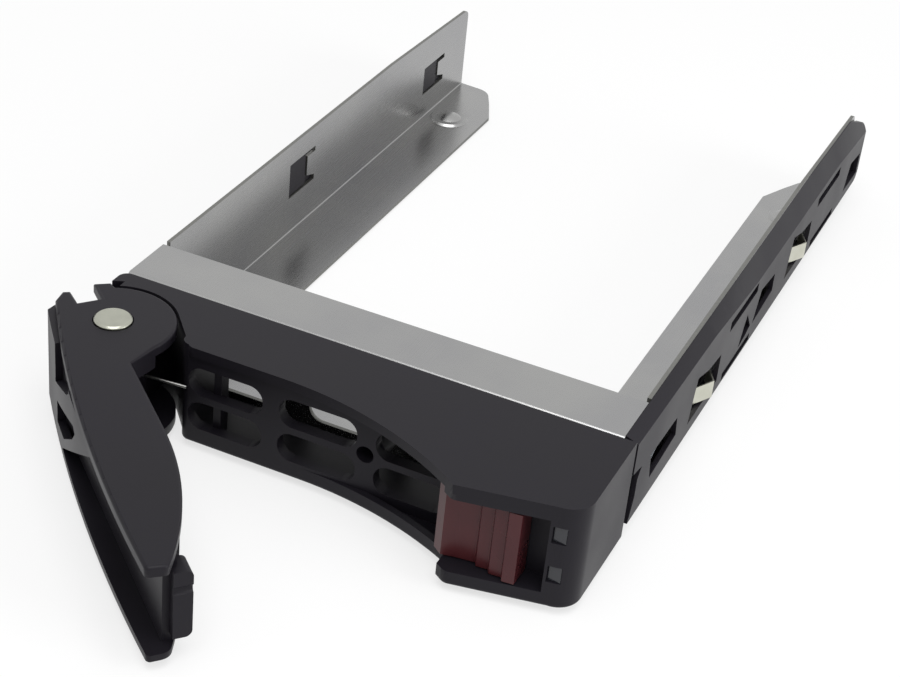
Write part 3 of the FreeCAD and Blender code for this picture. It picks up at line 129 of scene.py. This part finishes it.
# black ABS and red polycarbonate, injection moulded against a spark-eroded tool: even grain, low sheen
def makeMouldedPlastic(name, settings):
    material, shader = newMaterial(name)
    place = addNode(material, "ShaderNodeTexCoord", (-1200, 0))
    grain = addNode(material, "ShaderNodeTexNoise", (-900, -300),
                    {"Scale": 1000 / settings["grain"], "Detail": 2.0},
                    {"Vector": place.outputs["Object"]})
    flow = addNode(material, "ShaderNodeTexNoise", (-900, 0),
                   {"Scale": 1000 / settings["flow"], "Detail": 3.0},
                   {"Vector": place.outputs["Object"]})
    flowRange = addNode(material, "ShaderNodeMapRange", (-700, 0), {"From Min": 0.3, "From Max": 0.7},
                        {"Value": flow.outputs["Fac"]})
    tone = addNode(material, "ShaderNodeMix", (-450, 0), {"data_type": "RGBA"})
    tone.inputs[6].default_value = colour(settings["tone"])
    tone.inputs[7].default_value = colour(settings["light"])
    connect(material, flowRange.outputs["Result"], tone.inputs[0])
    connect(material, tone.outputs[2], shader.inputs["Base Color"])
    rough = addNode(material, "ShaderNodeMapRange", (-450, -200),
                    {"From Min": 0.3, "From Max": 0.7, "To Min": settings["roughness"] - 0.06,
                     "To Max": settings["roughness"] + 0.06}, {"Value": flow.outputs["Fac"]})
    connect(material, rough.outputs["Result"], shader.inputs["Roughness"])
    bump = addNode(material, "ShaderNodeBump", (-300, -400),
                   {"Strength": settings["bump"], "Distance": 0.00004}, {"Height": grain.outputs["Fac"]})
    connect(material, bump.outputs["Normal"], shader.inputs["Normal"])
    shader.inputs["IOR"].default_value = settings["ior"]
    shader.inputs["Specular IOR Level"].default_value = settings["sheen"]
    return material


blackAbs = {"tone": "#18161B", "light": "#1C1A20", "roughness": 0.42, "ior": 1.50, "sheen": 0.17,
            "grain": 0.28, "flow": 30.0, "bump": 0.25}      # grain and flow in mm
redPolycarbonate = {"tone": "#431C20", "light": "#4B2023", "roughness": 0.30, "ior": 1.58, "sheen": 0.22,
                    "grain": 0.35, "flow": 12.0, "bump": 0.06}


swirlPerMetre = 300.0


def makeClearAcrylic():
    # acrylic light pipe, moulded clear: picks up what stands round it
    material, shader = newMaterial("clearAcrylic")
    place = addNode(material, "ShaderNodeTexCoord", (-900, 0))
    swirl = addNode(material, "ShaderNodeTexNoise", (-700, 0), {"Scale": swirlPerMetre},
                    {"Vector": place.outputs["Object"]})
    rough = addNode(material, "ShaderNodeMapRange", (-450, 0),
                    {"To Min": 0.08, "To Max": 0.2}, {"Value": swirl.outputs["Fac"]})
    connect(material, rough.outputs["Result"], shader.inputs["Roughness"])
    shader.inputs["Base Color"].default_value = colour("#B4BAC0")
    shader.inputs["IOR"].default_value = 1.49
    shader.inputs["Transmission Weight"].default_value = 0.6
    return material


hazePerMetre = 500.0


def makePaintedShadeLens():
    # the pipes' front faces sit in the shade of the fascia; their dark base colour is painted shade, so they
    # read as dark, glossy lenses
    material, shader = newMaterial("paintedShadeLens")
    place = addNode(material, "ShaderNodeTexCoord", (-900, 0))
    haze = addNode(material, "ShaderNodeTexNoise", (-700, 0), {"Scale": hazePerMetre},
                   {"Vector": place.outputs["Object"]})
    rough = addNode(material, "ShaderNodeMapRange", (-450, 0),
                    {"To Min": 0.12, "To Max": 0.22}, {"Value": haze.outputs["Fac"]})
    connect(material, rough.outputs["Result"], shader.inputs["Roughness"])
    # painted shade: this dark base colour stands for the fascia's shade on the clear acrylic faces
    shader.inputs["Base Color"].default_value = colour("#2A2B30")
    shader.inputs["IOR"].default_value = 1.49
    return material


def makeSatinMetal(name, tone, mark, roughness, grain):
    # stamped or turned steel with a thin plating: even satin with small handling marks
    material, shader = newMaterial(name)
    place = addNode(material, "ShaderNodeTexCoord", (-1000, 0))
    marks = addNode(material, "ShaderNodeTexNoise", (-800, 0), {"Scale": 1000 / grain, "Detail": 4.0},
                    {"Vector": place.outputs["Object"]})
    spread = addNode(material, "ShaderNodeMapRange", (-620, 0), {"From Min": 0.35, "From Max": 0.7},
                     {"Value": marks.outputs["Fac"]})
    mix = addNode(material, "ShaderNodeMix", (-400, 0), {"data_type": "RGBA"})
    mix.inputs[6].default_value = colour(tone)
    mix.inputs[7].default_value = colour(mark)
    connect(material, spread.outputs["Result"], mix.inputs[0])
    connect(material, mix.outputs[2], shader.inputs["Base Color"])
    rough = addNode(material, "ShaderNodeMapRange", (-400, -200),
                    {"To Min": roughness - 0.05, "To Max": roughness + 0.08}, {"Value": marks.outputs["Fac"]})
    connect(material, rough.outputs["Result"], shader.inputs["Roughness"])
    shader.inputs["Metallic"].default_value = 1.0
    return material


sheetMaterial = makeGalvanisedSheet(galvanisedSheet)
edgeMaterial = makeShearedEdge(shearedEdge)
blackMaterial = makeMouldedPlastic("blackAbs", blackAbs)
redMaterial = makeMouldedPlastic("redPolycarbonate", redPolycarbonate)
clearMaterial = makeClearAcrylic()
lensMaterial = makePaintedShadeLens()
stripMaterial = makeSatinMetal("springStrip", "#D0D0C4", "#C4C4B6", 0.32, 4.0)
rivetMaterial = makeSatinMetal("platedRivet", "#AEAFA3", "#A3A499", 0.28, 3.0)
wireMaterial = makeSatinMetal("springWire", "#A9A9A6", "#8C8C8A", 0.28, 0.6)
print("materials made")

finishes = {
    "tray_frame": sheetMaterial, "front_bezel": blackMaterial, "release_handle": blackMaterial,
    "right_rail": blackMaterial, "left_rail": blackMaterial, "release_button": redMaterial,
    "upper_light_pipe": clearMaterial, "lower_light_pipe": clearMaterial,
    "front_side_spring": stripMaterial, "rear_side_spring": stripMaterial,
    "pivot_pin": rivetMaterial, "side_spring_rivets": rivetMaterial, "pivot_ring": rivetMaterial,
    "bezel_screw": rivetMaterial, "handle_spring": wireMaterial, "button_spring": wireMaterial,
}
for name, material in finishes.items():
    mesh = nodes[name].data
    mesh.materials.clear()
    mesh.materials.append(material)


lensDepth = -0.020      # metres: faces in front of this belong to the lenses
for name in ("upper_light_pipe", "lower_light_pipe"):
    mesh = nodes[name].data
    mesh.materials.append(lensMaterial)
    for face in mesh.polygons:
        if max(mesh.vertices[i].co.y for i in face.vertices) < lensDepth:
            face.material_index = 1


# the sheet's thickness, in metres, and where its layers lie: axis, lower face, upper face
sheetLayers = {"leftWall": (0, -0.0518, -0.0510), "rightWall": (0, 0.0510, 0.0518),
               "bulkhead": (1, 0.0, 0.0008), "ledges": (2, 0.0, 0.0008), "topFlange": (2, 0.0222, 0.0230)}
layerReach = 0.00002      # metres: how far a corner may lie from a layer's face


def markShearedEdges(layers):
    # a face that reaches from one side of the sheet to the other is a cut edge
    mesh = nodes["tray_frame"].data
    mesh.materials.append(edgeMaterial)
    count = 0
    for face in mesh.polygons:
        corners = [mesh.vertices[i].co for i in face.vertices]
        for axis, low, high in layers.values():
            reach = [corner[axis] for corner in corners]
            if abs(min(reach) - low) < layerReach and abs(max(reach) - high) < layerReach:
                face.material_index = 1
                count += 1
                break
    print("sheared edge faces:", count)


cornerReach = 0.000002    # metres: loose corners nearer than this are one corner
sharpAngle = 32.0         # degrees: edges that turn by less stay as they are


def softenEdges(name, width):
    # the CAD mesh is loose triangles, so its corners are joined before its edges are rounded
    piece = nodes[name]
    weld = piece.modifiers.new("joinCorners", "WELD")
    weld.merge_threshold = cornerReach
    bevel = piece.modifiers.new("roundEdges", "BEVEL")
    bevel.width = width
    bevel.segments = 2
    bevel.limit_method = "ANGLE"
    bevel.angle_limit = math.radians(sharpAngle)
    bevel.use_clamp_overlap = True
    smooth = piece.modifiers.new("evenShading", "WEIGHTED_NORMAL")
    smooth.keep_sharp = True


roundings = {"front_bezel": 0.00022, "release_handle": 0.00025, "right_rail": 0.00018, "left_rail": 0.0002,
             "release_button": 0.0005, "pivot_pin": 0.00012, "tray_frame": 0.00006}     # metres
markShearedEdges(sheetLayers)
for name, width in roundings.items():
    softenEdges(name, width)
print("CAD nodes finished")


# aim and distance in metres, angles in degrees, lens in millimetres
cameraView = {"aim": (0.0049, 0.0297, 0.0115), "distance": 0.4050, "azimuth": 21.49, "elevation": 32.42,
              "roll": 6.17, "lens": 80.94}


def placeCamera(settings):
    camera = bpy.data.objects.new("camera", bpy.data.cameras.new("camera"))
    bpy.context.scene.collection.objects.link(camera)
    azimuth, elevation = math.radians(settings["azimuth"]), math.radians(settings["elevation"])
    back = Vector((math.sin(azimuth) * math.cos(elevation), -math.cos(azimuth) * math.cos(elevation),
                   math.sin(elevation)))
    roll = Matrix.Rotation(math.radians(settings["roll"]), 3, "Z")
    turn = (-back).to_track_quat("-Z", "Y").to_matrix() @ roll
    place = Vector(settings["aim"]) + back * settings["distance"]
    camera.matrix_world = Matrix.Translation(place) @ turn.to_4x4()
    camera.data.lens = settings["lens"]
    camera.data.sensor_width = 36.0
    camera.data.clip_start = 0.01
    camera.data.clip_end = 20.0
    bpy.context.scene.camera = camera


def softLamp(name, place, aim, size, watts):
    lamp = bpy.data.objects.new(name, bpy.data.lights.new(name, "AREA"))
    bpy.context.scene.collection.objects.link(lamp)
    lamp.data.shape = "SQUARE"
    lamp.data.size = size
    lamp.data.energy = watts
    lamp.location = place
    lamp.rotation_euler = (Vector(aim) - Vector(place)).to_track_quat("-Z", "Y").to_euler()


# place, aim, side of the square, watts
lamps = {"keyLamp": ((0.15, -0.25, 0.95), (0, 0.05, 0), 0.7, 6.0),
         "sideLamp": ((0.95, 0.05, 0.35), (0, 0.05, 0), 0.5, 4.0)}
studio = {"floor": "#FAFAFA", "floorGlow": 0.7, "fill": 0.5}      # fill: the world's strength on the object


def seenRays(material):
    # 1 where the camera, a reflection or a view through glass looks, 0 for the light that falls on the object
    path = addNode(material, "ShaderNodeLightPath", (-1100, 300))
    either = addNode(material, "ShaderNodeMath", (-900, 300), {"operation": "MAXIMUM"})
    connect(material, path.outputs["Is Camera Ray"], either.inputs[0])
    connect(material, path.outputs["Is Glossy Ray"], either.inputs[1])
    seen = addNode(material, "ShaderNodeMath", (-700, 300), {"operation": "MAXIMUM"})
    connect(material, either.outputs[0], seen.inputs[0])
    connect(material, path.outputs["Is Transmission Ray"], seen.inputs[1])
    return seen


def makeStudio(settings):
    bpy.ops.mesh.primitive_plane_add(size=6.0, location=(0, 0, cadLow.z - 0.0005))
    floor = bpy.context.object
    floor.name = "studioFloor"
    material, shader = newMaterial("paperFloor")
    seen = seenRays(material)
    share = addNode(material, "ShaderNodeMath", (-450, 300), {"operation": "MULTIPLY"})
    connect(material, seen.outputs[0], share.inputs[0])
    share.inputs[1].default_value = settings["floorGlow"]
    glow = addNode(material, "ShaderNodeEmission", (-300, 100), {"Color": (1, 1, 1, 1), "Strength": 1.0})
    blend = addNode(material, "ShaderNodeMixShader", (300, 200))
    shader.inputs["Base Color"].default_value = colour(settings["floor"])
    shader.inputs["Roughness"].default_value = 0.9
    shader.inputs["Specular IOR Level"].default_value = 0.0
    connect(material, share.outputs[0], blend.inputs[0])
    connect(material, shader.outputs[0], blend.inputs[1])
    connect(material, glow.outputs[0], blend.inputs[2])
    connect(material, blend.outputs[0], material.node_tree.nodes["Material Output"].inputs["Surface"])
    floor.data.materials.append(material)
    world = bpy.data.worlds.new("studio")
    bpy.context.scene.world = world
    world.use_nodes = True
    background = world.node_tree.nodes["Background"]
    background.inputs["Color"].default_value = (1, 1, 1, 1)
    strength = addNode(world, "ShaderNodeMapRange", (-300, 0), {"To Min": settings["fill"], "To Max": 1.0},
                       {"Value": seenRays(world).outputs[0]})
    connect(world, strength.outputs["Result"], background.inputs["Strength"])
    for name, lamp in lamps.items():
        softLamp(name, *lamp)


placeCamera(cameraView)
makeStudio(studio)
bpy.context.scene.view_settings.view_transform = "Standard"
print("camera and studio ready")
